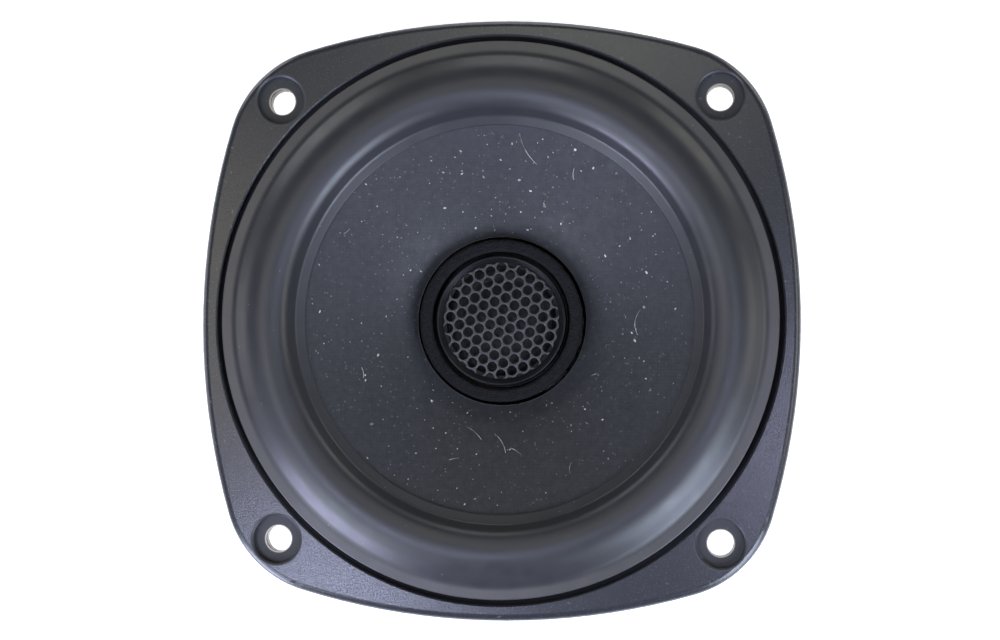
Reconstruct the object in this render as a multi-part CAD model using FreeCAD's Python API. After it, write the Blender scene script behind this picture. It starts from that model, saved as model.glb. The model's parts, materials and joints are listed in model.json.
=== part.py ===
import FreeCAD, Part
import math
import os

# Coaxial car speaker of the 130 mm class: a woofer cone with a small dome tweeter fixed to its pole.
# Millimetres. The origin is the centre of the screw holes, on the flange's rear (mounting) face,
# and +Z points out of the front, towards the listener. The speaker stands on its back plate.

# ---- driving dimensions ----------------------------------------------------------------------

# Flange of the die-cast frame: a rounded square with bowed sides
FLANGE_ACROSS = 132.2       # over two opposite sides
FLANGE_DIAGONAL = 151.7     # over two opposite corners
FLANGE_SIDE_R = 152.5       # radius of each bowed side
FLANGE_T = 6.5
FLANGE_EDGE_R = 1.6         # rounding of the front edge
SCREW_SPACING = 97.5        # square pattern
SCREW_HOLE_R = 2.9
COUNTERBORE_R = 5.25
COUNTERBORE_DEPTH = 2.6
CORING_DEPTH = 3.6          # hollows behind the corners

# Basket below the flange
RECESS_R = 62.65            # pocket that the surround's lip sits in
SEAT_Z = 4.0                # floor of that pocket
RIM_R = 57.0                # goes through the mounting cut-out
RIM_BORE_R = 54.6
RIM_DEPTH = 6.0
LEDGE_Z = -15.6             # the spider is glued here
LEDGE_BORE_R = 39.8
WALL = 2.0
FLOOR_Z = -23.5             # the motor is screwed up against this face
FLOOR_BORE_R = 21.5
LOWER_R = 45.8              # outside of the wall between ledge and floor
WINDOW_DEG = 60             # four windows between four legs
VENT_COUNT = 12
VENT_DEG = 14

# Surround: front surface as corners (radius, height above the lip, rounding)
LIP_R = 61.4
LIP_Z = FLANGE_T + 0.4
LIP_W = 2.4
SURROUND_T = 0.8
ROLL = [(LIP_R, 0.0, 0), (58.54, 0.0, 3.15), (52.63, 4.14, 8.7), (46.89, 1.82, 3.7), (45.09, -1.3, 1.2),
        (43.0, -2.08, 0)]

# Cone: front surface as corners (radius, height, rounding)
GLUE = 0.05                 # glue line between pieces that move apart elsewhere
CONE_T = 0.6
CONE_EDGE_R = 45.6
CONE_NECK_Z = -5.6
CONE_BEND = (27.0, -1.95, 60.0)
CONE_SLOPE = math.atan2(1.12, 3.0)   # under the surround's inner lip

# Woofer's voice coil and spider
FORMER_R = 19.05            # inside
FORMER_T = 0.15
FORMER_BOTTOM_Z = -31.0
COIL_T = 0.6
COIL_Z = (-30.5, -21.5)
SPIDER_T = 0.5
SPIDER_WAVE = 1.1           # height of a corrugation above the middle
SPIDER_PITCH = 2.1          # from a crest to the next trough
SPIDER_WAVES = 9

# Woofer's motor
PLATE_R = 42.0
PLATE_T = 5.0
PLATE_BORE_R = 20.6
MAGNET_R = 45.0
MAGNET_BORE_R = 24.0
MAGNET_T = 13.0
POLE_R = 18.5
POLE_TOP_Z = -21.0
POLE_BORE_R = 5.0
BACK_RECESS = (9.0, 3.5)    # radius and depth, round the bore's rear mouth
CHANNEL = (3.6, 2.2)        # width and depth of the lead channel in the back plate
MOTOR_SCREW_AT = 33.0

MAGNET_TOP_Z = FLOOR_Z - PLATE_T
BACK_PLATE_Z = MAGNET_TOP_Z - MAGNET_T
REAR_Z = BACK_PLATE_Z - PLATE_T

# Tweeter, from the front backwards
FOAM_R = (15.4, 18.4)
FOAM_Z = (-7.0, -2.0)
BEZEL_R = 14.6
BEZEL_TOP_Z = -2.7
GRILLE_R = 13.2
GRILLE_TOP_Z = -3.5
GRILLE_T = 0.5
GRILLE_HOLE_R = 1.04
GRILLE_PITCH = 2.63
GRILLE_TURN_DEG = 19
DOME_R = 9.5
DOME_H = 2.6
DOME_BASE_Z = -7.6
DOME_T = 0.15
RIM_CLAMP_Z = -7.2
TWEETER_COIL_R = 9.5
TWEETER_GAP_R = 10.3
TWEETER_POT_R = 12.6
TWEETER_PLATE = (9.15, -9.9, -7.9)      # radius, rear, front
TWEETER_MAGNET = (8.6, -13.4, -9.9)
TWEETER_COIL_Z = (-11.2, -8.4)
TWEETER_POT_Z = -15.4
HOUSING_R = 15.1
HOUSING_LIP_Z = -6.0        # the wall round the bezel stops here
HOUSING_FLANGE_R = 18.2
HOUSING_FLANGE_T = 1.5
HOUSING_BODY_R = 14.0
HOUSING_FOOT_R = 9.5
HOUSING_REAR_Z = -17.4
STEM_BORE_R = 2.2
STEM_END_Z = -44.2
LEAD_DROP_AT = 13.2         # where the leads go down beside the pot

# Terminals, all in the direction TERMINAL_DEG, and the crossover capacitor beside them
TERMINAL_DEG = -45
SHELF = (44.0, 56.2, 26.0)              # near and far edge, width
BOARD = (47.3, 56.2, 24.0, 1.6)
TAB_AT = 54.0
TAB_SPREAD = 6.5                        # each tab from the middle line
TAB_T = 0.8
TAB_LENGTH = 9.0
TAIL_W = 2.5
TAIL_TOP_Z = -13.4
LEAD_HOLE_Z = -11.0
CAPACITOR_DEG = -12
CAPACITOR_AT = 51.2
CAPACITOR_R = 4.5
CAPACITOR_L = 16.0
CAPACITOR_Z = -22.5
LEAD_R = 0.55
BARE_LEAD_R = 0.35
TINSEL_R = 0.6
LEAD_SIDE = 0.8                         # each tweeter lead from the middle line
LEAD_UP_AT = 46.0                       # where they climb past the magnet

V = FreeCAD.Vector
UP = V(0, 0, 1)
CENTRE = V(0, 0, 0)


# ---- helpers -----------------------------------------------------------------------------------

def rounded_edges(points, radii, closed):
    """Straight edges through the points, with an arc of its own radius at each point."""
    count = len(points)
    starts, ends, arcs = [], [], []
    for i, (point, radius) in enumerate(zip(points, radii)):
        if radius == 0 or (not closed and i in (0, count - 1)):
            starts.append(point)
            ends.append(point)
            continue
        back = (points[i - 1] - point).normalize()
        ahead = (points[(i + 1) % count] - point).normalize()
        half = back.getAngle(ahead) / 2
        reach = radius / math.tan(half)
        first, last = point + back * reach, point + ahead * reach
        middle = point + (back + ahead).normalize() * (radius / math.sin(half) - radius)
        starts.append(first)
        ends.append(last)
        arcs.append((i, Part.Arc(first, middle, last).toShape()))
    edges = []
    arc_at = dict(arcs)
    for i in range(count):
        if i in arc_at:
            edges.append(arc_at[i])
        if i + 1 < count or closed:
            a, b = ends[i], starts[(i + 1) % count]
            if a.distanceToPoint(b) > 1e-6:
                edges.append(Part.LineSegment(a, b).toShape())
    return edges


def lathe(corners):
    """Solid of revolution about Z from a closed outline of (radius, height[, rounding]) corners."""
    points = [V(c[0], 0, c[1]) for c in corners]
    radii = [c[2] if len(c) > 2 else 0 for c in corners]
    face = Part.Face(Part.Wire(rounded_edges(points, radii, True)))
    return face.revolve(CENTRE, UP, 360)


def ring(inner, outer, low, high):
    """Plain ring, or a disc where inner is 0."""
    body = Part.makeCylinder(outer, high - low, V(0, 0, low))
    if inner:
        body = body.cut(Part.makeCylinder(inner, high - low, V(0, 0, low)))
    return body


def beneath(corners, depth):
    """An open line of corners that runs inwards, moved back by depth with its roundings concentric."""
    moved = []
    for i, (r, z, rounding) in enumerate(corners):
        before = corners[max(i - 1, 0)]
        after = corners[min(i + 1, len(corners) - 1)]
        normals = []
        for a, b in ((before, corners[i]), (corners[i], after)):
            length = math.hypot(b[0] - a[0], b[1] - a[1])
            if length:
                normals.append((-(b[1] - a[1]) / length, (b[0] - a[0]) / length))
        (ax, az), (bx, bz) = normals[0], normals[-1]
        scale = depth / (1 + ax * bx + az * bz)
        turn = ax * bz - az * bx
        new_rounding = rounding - math.copysign(depth, turn) if rounding else 0
        moved.append((r + (ax + bx) * scale, z + (az + bz) * scale, new_rounding))
    return moved


def skin(corners, thickness):
    """Sheet turned about Z: its front surface follows the corners, which run inwards."""
    return lathe(corners + beneath(corners, thickness)[::-1])


def sector(degrees, at, inner, outer, low, high):
    """Wedge of a ring, centred on the direction at."""
    wedge = Part.makeCylinder(outer, high - low, V(0, 0, low), UP, degrees)
    if inner:
        wedge = wedge.cut(Part.makeCylinder(inner, high - low, V(0, 0, low)))
    return wedge.rotate(CENTRE, UP, at - degrees / 2)


def turned(shape, degrees):
    """Copy of a shape, turned about Z."""
    copy = shape.copy()
    copy.rotate(CENTRE, UP, degrees)
    return copy


def at_terminal(along, across, z):
    """Point in the terminals' frame: outwards, sideways and up."""
    a = math.radians(TERMINAL_DEG)
    return V(along * math.cos(a) - across * math.sin(a), along * math.sin(a) + across * math.cos(a), z)


def polar(r, degrees, z):
    a = math.radians(degrees)
    return V(r * math.cos(a), r * math.sin(a), z)


def terminal_box(near, far, width, low, high, across=0):
    """Box in the terminals' frame."""
    box = Part.makeBox(far - near, width, high - low, V(near, across - width / 2, low))
    return turned(box, TERMINAL_DEG)


def tube(points, radius, bends):
    """Round wire along straight runs joined by tangent arcs, with a bend radius for each inner point."""
    path = Part.Wire(rounded_edges(points, [0] + bends + [0], False))
    section = Part.Wire(Part.makeCircle(radius, points[0], points[1] - points[0]))
    body = path.makePipeShell([section], True, False)
    ideal = math.pi * radius ** 2 * path.Length
    print("tube: length %.1f, bends %s, volume ratio %.3f" % (path.Length, bends, body.Volume / ideal))
    return body


# ---- basket ------------------------------------------------------------------------------------

def flange_outline():
    """Four bowed sides joined by four corner arcs that are tangent to them."""
    side, half_diagonal = FLANGE_SIDE_R, FLANGE_DIAGONAL / 2
    back = side - FLANGE_ACROSS / 2     # each side's arc is centred this far behind the middle
    top = side ** 2 - back ** 2 - half_diagonal ** 2 - math.sqrt(2) * back * half_diagonal
    corner_r = top / (2 * side - 2 * half_diagonal - math.sqrt(2) * back)
    corner = V(1, 1, 0) * ((half_diagonal - corner_r) / math.sqrt(2))
    edges = []
    for quarter in range(4):
        turn = FreeCAD.Rotation(UP, 90 * quarter)
        towards = (corner - V(-back, 0, 0)).normalize()
        mirrored = V(towards.y, towards.x, 0)
        joint, next_joint = corner + towards * corner_r, corner + mirrored * corner_r
        low = V(joint.x, -joint.y, 0)
        peak = V(half_diagonal, half_diagonal, 0) / math.sqrt(2)
        for a, b, c in ((low, V(FLANGE_ACROSS / 2, 0, 0), joint), (joint, peak, next_joint)):
            edges.append(Part.Arc(*[turn.multVec(p) for p in (a, b, c)]).toShape())
    return Part.Wire(edges)


def screw_places():
    half = SCREW_SPACING / 2
    return [V(x, y, 0) for x in (-half, half) for y in (-half, half)]


def flange():
    """Flange plate with a rounded front edge, counterbored holes and cored-out corners behind."""
    outline = flange_outline()
    plate = Part.Face(outline).extrude(V(0, 0, FLANGE_T))
    front = [e for e in plate.Edges if min(v.Z for v in e.Vertexes) > FLANGE_T - 0.01]
    plate = plate.makeFillet(FLANGE_EDGE_R, front)
    coring = Part.Face(outline.makeOffset2D(-2.2)).extrude(V(0, 0, CORING_DEPTH))
    coring = coring.cut(Part.makeCylinder(RECESS_R + 1.8, 10, V(0, 0, -1)))
    for place in screw_places():
        coring = coring.cut(Part.makeCylinder(COUNTERBORE_R + 1.9, 10, place - UP))
    for corner in range(4):
        for side in (-9.5, 9.5):
            rib = Part.makeBox(30, 1.2, 10, V(55, -0.6, -1))
            coring = coring.cut(turned(rib, 45 + 90 * corner + side))
    plate = plate.cut(coring)
    for place in screw_places():
        plate = plate.cut(Part.makeCylinder(SCREW_HOLE_R, 20, place - UP))
        rim_z = FLANGE_T - COUNTERBORE_DEPTH
        plate = plate.cut(Part.makeCylinder(COUNTERBORE_R, 20, place + UP * rim_z))
        chamfer = Part.makeCone(COUNTERBORE_R, COUNTERBORE_R + 0.35, 0.35, place + UP * (FLANGE_T - 0.35))
        plate = plate.cut(chamfer)
    recess = lathe([(0, SEAT_Z), (RECESS_R, SEAT_Z), (RECESS_R, FLANGE_T - 0.3), (RECESS_R + 0.3, FLANGE_T),
                    (RECESS_R + 0.3, FLANGE_T + 5), (0, FLANGE_T + 5)])
    return plate.cut(recess).cut(Part.makeCylinder(RIM_BORE_R, 20, V(0, 0, -1)))


def bowl():
    """Rim, sloping legs, spider ledge, lower wall and motor seat, with the windows cut out."""
    ledge_under = LEDGE_Z - WALL
    inner_foot = LOWER_R - 0.8
    body = lathe([
        (RIM_R, 0.5), (RIM_R, -RIM_DEPTH, 1.5), (LOWER_R + 1.2, ledge_under, 1.0), (LOWER_R, ledge_under),
        (LOWER_R, FLOOR_Z), (FLOOR_BORE_R, FLOOR_Z), (FLOOR_BORE_R, FLOOR_Z + WALL),
        (LOWER_R - WALL - 0.4, FLOOR_Z + WALL), (LOWER_R - WALL - 0.4, ledge_under),
        (LEDGE_BORE_R, ledge_under), (LEDGE_BORE_R, LEDGE_Z), (inner_foot, LEDGE_Z),
        (RIM_BORE_R, -RIM_DEPTH + 0.7), (RIM_BORE_R, 0.5)])
    for quarter in range(4):
        window = sector(WINDOW_DEG, 90 * quarter, LOWER_R - 0.6, RIM_R + 5, LEDGE_Z, -RIM_DEPTH - 0.8)
        body = body.cut(window)
        for side in (-1, 1):
            # a stiffening rib down each edge of each leg
            rib = rib_plate(90 * quarter + side * (WINDOW_DEG / 2 + 2))
            body = body.fuse(rib)
    for vent in range(VENT_COUNT):
        slot = sector(VENT_DEG, (vent + 0.5) * 360 / VENT_COUNT, LOWER_R - 4, LOWER_R + 1, FLOOR_Z + 2.6,
                      ledge_under - 0.4)
        body = body.cut(slot)
    return body


def rib_plate(at):
    """Upright rib on the outside of a leg, from the rim down to the motor seat."""
    corners = [(RIM_R - 0.1, -RIM_DEPTH + 1), (RIM_R - 0.1, -RIM_DEPTH - 0.6), (LOWER_R + 2.4, FLOOR_Z + 3.5),
               (LOWER_R - 0.8, FLOOR_Z + 1.2), (LOWER_R - 0.8, LEDGE_Z - 1), (RIM_R - 2, -RIM_DEPTH + 1)]
    points = [V(r, -0.8, z) for r, z in corners]
    rib = Part.Face(Part.makePolygon(points + points[:1])).extrude(V(0, 1.6, 0))
    return turned(rib, at)


def capacitor_body():
    middle = polar(CAPACITOR_AT, CAPACITOR_DEG, CAPACITOR_Z)
    along = polar(1, CAPACITOR_DEG + 90, 0)
    body = Part.makeCylinder(CAPACITOR_R, CAPACITOR_L, middle - along * (CAPACITOR_L / 2), along)
    ends = [e for e in body.Edges if isinstance(e.Curve, Part.Circle)]
    return body.makeFillet(0.6, ends)


def basket():
    body = flange().fuse(bowl())
    near, far, width = SHELF
    shelf = terminal_box(near, far, width, LEDGE_Z - WALL, LEDGE_Z)
    body = body.fuse(shelf.common(Part.makeCylinder(RIM_R - 0.3, 60, V(0, 0, -50))))
    cradle = Part.makeBox(4.5, 12, 5.8, V(LOWER_R - 1, -6, FLOOR_Z))
    body = body.fuse(turned(cradle, CAPACITOR_DEG)).cut(capacitor_body())
    # the ribs make room for the terminal board
    body = body.cut(terminal_box(BOARD[0] - 0.3, BOARD[1] + 5, BOARD[2] + 0.6, board_under(), LEDGE_Z - WALL))
    for side in (-1, 1):
        body = body.cut(tail_slot(side))
        body = body.cut(rivet(side))
        hole = Part.makeCylinder(TINSEL_R + 0.5, 20, at_terminal(44, side * TAB_SPREAD, LEAD_HOLE_Z),
                                 at_terminal(1, 0, 0))
        body = body.cut(hole)
    for screw in motor_screws():
        body = body.cut(screw)
    return body.removeSplitter()


# ---- cone, surround, spider and voice coil ---------------------------------------------------------

def surround():
    """Half roll of rubber with a thick outer lip that stands on the basket's seat."""
    front = [(r, LIP_Z + z, rounding) for r, z, rounding in ROLL]
    lip = lathe([(LIP_R - LIP_W, SEAT_Z), (LIP_R, SEAT_Z), (LIP_R, LIP_Z, 0.8), (LIP_R - LIP_W, LIP_Z)])
    trimmed = skin(front, SURROUND_T).common(ring(0, LIP_R - 1, -10, 20))
    return trimmed.fuse(lip).removeSplitter()


def cone_front():
    """Front surface of the cone: straight under the surround's lip, then bending down to the neck."""
    edge_z = LIP_Z + ROLL[-1][1] - (SURROUND_T + GLUE) / math.cos(CONE_SLOPE)
    outer_z = edge_z + (CONE_EDGE_R - ROLL[-1][0]) * math.tan(CONE_SLOPE)
    return [(CONE_EDGE_R, outer_z, 0), CONE_BEND, (FORMER_R + FORMER_T, CONE_NECK_Z, 0)]


def cone():
    return skin(cone_front(), CONE_T)


def voice_coil_former():
    return ring(FORMER_R, FORMER_R + FORMER_T, FORMER_BOTTOM_Z, CONE_NECK_Z)


def voice_coil_winding():
    inner = FORMER_R + FORMER_T
    return ring(inner, inner + COIL_T, *COIL_Z)


def spider():
    """Corrugated disc between the voice coil former and the basket's ledge."""
    top = LEDGE_Z + GLUE + SPIDER_T
    inner = FORMER_R + FORMER_T + GLUE
    first = inner + 2.6
    corners = [(inner, top, 0), (first, top, 0.5)]
    for wave in range(SPIDER_WAVES):
        height = SPIDER_WAVE if wave % 2 == 0 else -SPIDER_WAVE
        corners.append((first + SPIDER_PITCH * (wave + 0.5), top + height, 0.7))
    corners.append((first + SPIDER_PITCH * SPIDER_WAVES, top, 0.5))
    corners.append((LOWER_R - 1.2, top, 0))
    return skin(corners[::-1], SPIDER_T)


# ---- woofer's motor ------------------------------------------------------------------------------

def motor_screws():
    """Four screws down through the basket's floor into the top plate."""
    screws = []
    head_z = FLOOR_Z + WALL
    for quarter in range(4):
        place = polar(MOTOR_SCREW_AT, 45 + 90 * quarter, head_z)
        shank = Part.makeCylinder(2.0, 6.0, place - UP * 6.0)
        head = Part.makeCone(3.6, 2.8, 1.2, place)
        socket = Part.makeBox(5, 0.9, 1.2, place + V(-2.5, -0.45, 0.6))
        screws.append(shank.fuse(head).cut(socket).removeSplitter())
    return screws


def top_plate():
    plate = lathe([(PLATE_BORE_R, MAGNET_TOP_Z), (PLATE_R, MAGNET_TOP_Z, 0.6), (PLATE_R, FLOOR_Z, 0.6),
                   (PLATE_BORE_R, FLOOR_Z)])
    for screw in motor_screws():
        plate = plate.cut(screw)
    return plate


def magnet_ring():
    return lathe([(MAGNET_BORE_R, BACK_PLATE_Z), (MAGNET_R, BACK_PLATE_Z, 1.0), (MAGNET_R, MAGNET_TOP_Z, 1.0),
                  (MAGNET_BORE_R, MAGNET_TOP_Z)])


def back_plate_and_pole():
    recess_r, recess_depth = BACK_RECESS
    width, depth = CHANNEL
    body = lathe([(POLE_BORE_R, REAR_Z + recess_depth), (recess_r, REAR_Z + recess_depth), (recess_r, REAR_Z),
                  (PLATE_R, REAR_Z, 1.2), (PLATE_R, BACK_PLATE_Z, 0.6), (POLE_R, BACK_PLATE_Z),
                  (POLE_R, POLE_TOP_Z, 0.8), (POLE_BORE_R, POLE_TOP_Z)])
    return body.cut(terminal_box(0, PLATE_R + 1, width, REAR_Z - 1, REAR_Z + depth))


# ---- tweeter -------------------------------------------------------------------------------------

def tweeter_housing():
    """Cup for the tweeter's motor, with a foot on the pole and a hollow stem through the pole."""
    flange_under = FOAM_Z[0] - HOUSING_FLANGE_T
    body = lathe([
        (STEM_BORE_R, STEM_END_Z), (POLE_BORE_R, STEM_END_Z, 0.4), (POLE_BORE_R, POLE_TOP_Z),
        (HOUSING_FOOT_R, POLE_TOP_Z, 0.6), (HOUSING_FOOT_R, HOUSING_REAR_Z, 1.0),
        (HOUSING_BODY_R, HOUSING_REAR_Z, 1.5), (HOUSING_BODY_R, flange_under, 1.0),
        (HOUSING_FLANGE_R, flange_under, 0.5), (HOUSING_FLANGE_R, FOAM_Z[0]), (HOUSING_R, FOAM_Z[0]),
        (HOUSING_R, HOUSING_LIP_Z, 0.15), (BEZEL_R + 0.1, HOUSING_LIP_Z), (BEZEL_R + 0.1, RIM_CLAMP_Z),
        (TWEETER_POT_R, RIM_CLAMP_Z), (TWEETER_POT_R, TWEETER_POT_Z), (STEM_BORE_R, TWEETER_POT_Z)])
    length = 2 * LEAD_DROP_AT + 1.2
    trough = Part.makeBox(length, 3.0, 1.6, V(-length / 2, -1.5, TWEETER_POT_Z - 1.6))
    body = body.cut(turned(trough, TERMINAL_DEG))
    for side in (-1, 1):
        foot = at_terminal(side * LEAD_DROP_AT, side * LEAD_SIDE, TWEETER_POT_Z - 1.4)
        drop = Part.makeCylinder(LEAD_R + 0.1, RIM_CLAMP_Z - foot.z, foot)
        body = body.cut(drop)
    return body


def stem_retainer():
    """Push-on washer that grips the end of the tweeter's stem, with eight slits in its rim."""
    z = REAR_Z + BACK_RECESS[1]
    washer = ring(POLE_BORE_R, 8.4, z - 0.6, z)
    for tooth in range(8):
        slit = Part.makeBox(2.0, 0.8, 2, V(POLE_BORE_R - 0.1, -0.4, z - 1.5))
        washer = washer.cut(turned(slit, 45 * tooth))
    return washer


def foam_ring():
    inner, outer = FOAM_R
    return lathe([(inner, FOAM_Z[0]), (outer, FOAM_Z[0]), (outer, FOAM_Z[1], 0.7), (inner, FOAM_Z[1], 0.7)])


def tweeter_pot():
    return lathe([(0, TWEETER_POT_Z), (TWEETER_POT_R, TWEETER_POT_Z), (TWEETER_POT_R, TWEETER_PLATE[2]),
                  (TWEETER_GAP_R, TWEETER_PLATE[2]), (TWEETER_GAP_R, TWEETER_MAGNET[1]), (0, TWEETER_MAGNET[1])])


def dome_curve():
    """Radius of the dome's sphere, and the height of its centre."""
    radius = (DOME_R ** 2 + DOME_H ** 2) / (2 * DOME_H)
    return radius, DOME_BASE_Z + DOME_H - radius


def tweeter_dome():
    """Spherical cap with a short collar that the coil former is glued into."""
    radius, centre_z = dome_curve()
    half = math.asin(DOME_R / radius) / 2
    arcs = []
    for r in (radius, radius - DOME_T):
        points = [V(r * math.sin(a), 0, centre_z + r * math.cos(a)) for a in (0, half, 2 * half)]
        arcs.append(points)
    outer, inner = arcs
    edges = [Part.Arc(*outer).toShape(), Part.LineSegment(outer[2], inner[2]).toShape(),
             Part.Arc(*inner[::-1]).toShape(), Part.LineSegment(inner[0], outer[0]).toShape()]
    return Part.Face(Part.Wire(edges)).revolve(CENTRE, UP, 360)


def tweeter_dome_roll():
    """Small half roll and flat rim round the dome, from the same cloth."""
    rim_top = RIM_CLAMP_Z + DOME_T
    return skin([(BEZEL_R - 0.2, rim_top, 0), (12.1, rim_top, 0.2), (11.0, rim_top + 1.4, 0.5),
                 (DOME_R + GLUE + 0.1, DOME_BASE_Z + 0.15, 0)], DOME_T)


def tweeter_bezel():
    """Ring over the diaphragm's rim, with a sloping mouth down to the grille."""
    base = RIM_CLAMP_Z + DOME_T
    grille_z = GRILLE_TOP_Z - GRILLE_T
    return lathe([(12.4, base), (BEZEL_R, base), (BEZEL_R, BEZEL_TOP_Z, 0.25), (BEZEL_R - 0.5, BEZEL_TOP_Z, 0.2),
                  (GRILLE_R, GRILLE_TOP_Z - 0.1), (GRILLE_R, grille_z), (12.4, grille_z)])


def tweeter_grille():
    """Disc stamped through by a hexagonal pattern of round holes, which its edge cuts across."""
    z = GRILLE_TOP_Z - GRILLE_T
    disc = Part.makeCylinder(GRILLE_R - 0.1, GRILLE_T, V(0, 0, z))
    holes = []
    reach = 6
    for i in range(-reach, reach + 1):
        for j in range(-reach, reach + 1):
            x = GRILLE_PITCH * (i + j / 2)
            y = GRILLE_PITCH * j * math.sqrt(3) / 2
            if math.hypot(x, y) < GRILLE_R + 0.3:
                holes.append(Part.makeCylinder(GRILLE_HOLE_R, 2, V(x, y, z - 1)))
    disc = disc.cut(Part.makeCompound(holes))
    return turned(max(disc.Solids, key=lambda s: s.Volume), GRILLE_TURN_DEG)


# ---- terminals, crossover and leads ----------------------------------------------------------------

def board_under():
    return LEDGE_Z - WALL - BOARD[3]


def tail_slot(side):
    return terminal_box(TAB_AT - TAB_T / 2, TAB_AT + TAB_T / 2, TAIL_W, board_under(), TAIL_TOP_Z,
                        side * TAB_SPREAD)


def terminal(side, width):
    """Push-on tab with a solder tail that comes up through the board and the shelf."""
    low = board_under() - TAB_LENGTH
    near = TAB_AT - TAB_T / 2
    half = width / 2
    outline = [(-half, board_under()), (half, board_under()), (half, low + 1.4), (half - 1.2, low),
               (-half + 1.2, low), (-half, low + 1.4)]
    points = [V(near, side * TAB_SPREAD + y, z) for y, z in outline]
    blade = Part.Face(Part.makePolygon(points + points[:1])).extrude(V(TAB_T, 0, 0))
    eye = Part.makeCylinder(0.85, 4, V(near - 1, side * TAB_SPREAD, low + 3.0), V(1, 0, 0))
    return turned(blade.cut(eye), TERMINAL_DEG).fuse(tail_slot(side)).removeSplitter()


def rivet(side):
    place = at_terminal(50.0, side * 10.6, board_under())
    thickness = LEDGE_Z - board_under()
    shank = Part.makeCylinder(1.3, thickness, place)
    heads = [Part.makeCone(1.5, 2.2, 0.7, place - UP * 0.7), Part.makeCone(2.2, 1.5, 0.7, place + UP * thickness)]
    return shank.fuse(heads[0]).fuse(heads[1]).removeSplitter()


def terminal_board():
    near, far, width, thickness = BOARD
    board = terminal_box(near, far, width, board_under(), LEDGE_Z - WALL)
    board = board.common(Part.makeCylinder(RIM_R - 0.3, 60, V(0, 0, -50)))
    for side in (-1, 1):
        board = board.cut(tail_slot(side)).cut(rivet(side))
    return board


def tweeter_lead(side, finish):
    """Insulated lead from the tweeter, down its stem, along the back plate's channel and up the magnet."""
    y = side * LEAD_SIDE
    channel_z = REAR_Z + CHANNEL[1] / 2
    points = [at_terminal(side * LEAD_DROP_AT, y, RIM_CLAMP_Z - 0.8),
              at_terminal(side * LEAD_DROP_AT, y, TWEETER_POT_Z - 0.8),
              at_terminal(0, y, TWEETER_POT_Z - 0.8), at_terminal(0, y, channel_z),
              at_terminal(LEAD_UP_AT, y, channel_z)]
    return tube(points + finish, LEAD_R, [0.75, 1.4, 0.75, 2.2] + [3.0] * (len(finish) - 1))


# ---- the assembly ----------------------------------------------------------------------------------

tab_face = TAB_AT - TAB_T / 2
joint_z = board_under() - 1.6

# the negative lead ends flat against the narrow tab, the positive one in the sleeve
negative_end = [at_terminal(LEAD_UP_AT, -LEAD_SIDE, joint_z - 8.2),
                at_terminal(tab_face - LEAD_R, -TAB_SPREAD, joint_z - 5.2),
                at_terminal(tab_face - LEAD_R, -TAB_SPREAD, joint_z)]
cap_along = polar(1, CAPACITOR_DEG + 90, 0)
cap_out = polar(1, CAPACITOR_DEG, 0)
cap_middle = polar(CAPACITOR_AT, CAPACITOR_DEG, CAPACITOR_Z)
cap_near = cap_middle - cap_along * (CAPACITOR_L / 2)
cap_far = cap_middle + cap_along * (CAPACITOR_L / 2)
sleeve_z = CAPACITOR_Z - CAPACITOR_R - 1.6
sleeve_start = cap_middle - cap_along * 6 - cap_out * 2 + UP * (sleeve_z - CAPACITOR_Z)
sleeve_end = sleeve_start + cap_along * 10
splice = sleeve_start + cap_along * 5
positive_end = [at_terminal(LEAD_UP_AT, LEAD_SIDE, sleeve_z), sleeve_start, splice]

lead_in = tube([cap_near, cap_near - cap_along * 3, at_terminal(tab_face - BARE_LEAD_R, TAB_SPREAD + 4, joint_z),
                at_terminal(tab_face - BARE_LEAD_R, TAB_SPREAD, joint_z)], BARE_LEAD_R, [2.0, 3.0])
turn_back = cap_far + cap_along * 2.5
lead_out = tube([cap_far, turn_back, V(turn_back.x, turn_back.y, sleeve_z) - cap_out * 2, splice],
                BARE_LEAD_R, [1.6, 1.6])
lead_positive = tweeter_lead(1, positive_end)
lead_negative = tweeter_lead(-1, negative_end)
sleeve = Part.makeCylinder(1.0, 10, sleeve_start, cap_along).cut(lead_positive).cut(lead_out)
tabs = {1: terminal(1, 6.3), -1: terminal(-1, 4.8)}


def tinsel_lead(side):
    """Braided lead that sags from the former across the spider to a terminal's solder tail."""
    start = math.sqrt((FORMER_R + FORMER_T + GLUE) ** 2 - 4.5 ** 2) + TINSEL_R + 0.2
    tail = tab_face - TINSEL_R
    sag = LEAD_HOLE_Z - 1.0
    points = [at_terminal(start, side * 4.5, sag + 3.4), at_terminal(start + 7, side * 4.9, sag + 1.4),
              at_terminal(38.0, side * 5.8, sag), at_terminal(46.0, side * 6.4, LEAD_HOLE_Z),
              at_terminal(tail, side * TAB_SPREAD, LEAD_HOLE_Z),
              at_terminal(tail, side * TAB_SPREAD, LEAD_HOLE_Z - 3.4)]
    return tube(points, TINSEL_R, [6.0, 9.0, 6.0, 1.4])


def solder_joints():
    """Blobs round the ends of the leads, flat against the two tabs below the board."""
    joints = []
    flat = tab_face - GLUE
    for side, lead in ((1, lead_in), (-1, lead_negative)):
        blob = Part.makeSphere(1.15, at_terminal(flat - 0.4, side * TAB_SPREAD, joint_z - 0.4))
        behind = terminal_box(flat, flat + 5, 10, joint_z - 5, joint_z + 5, side * TAB_SPREAD)
        joints.append(max(blob.cut(behind).cut(lead).Solids, key=lambda s: s.Volume))
    return joints


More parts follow.
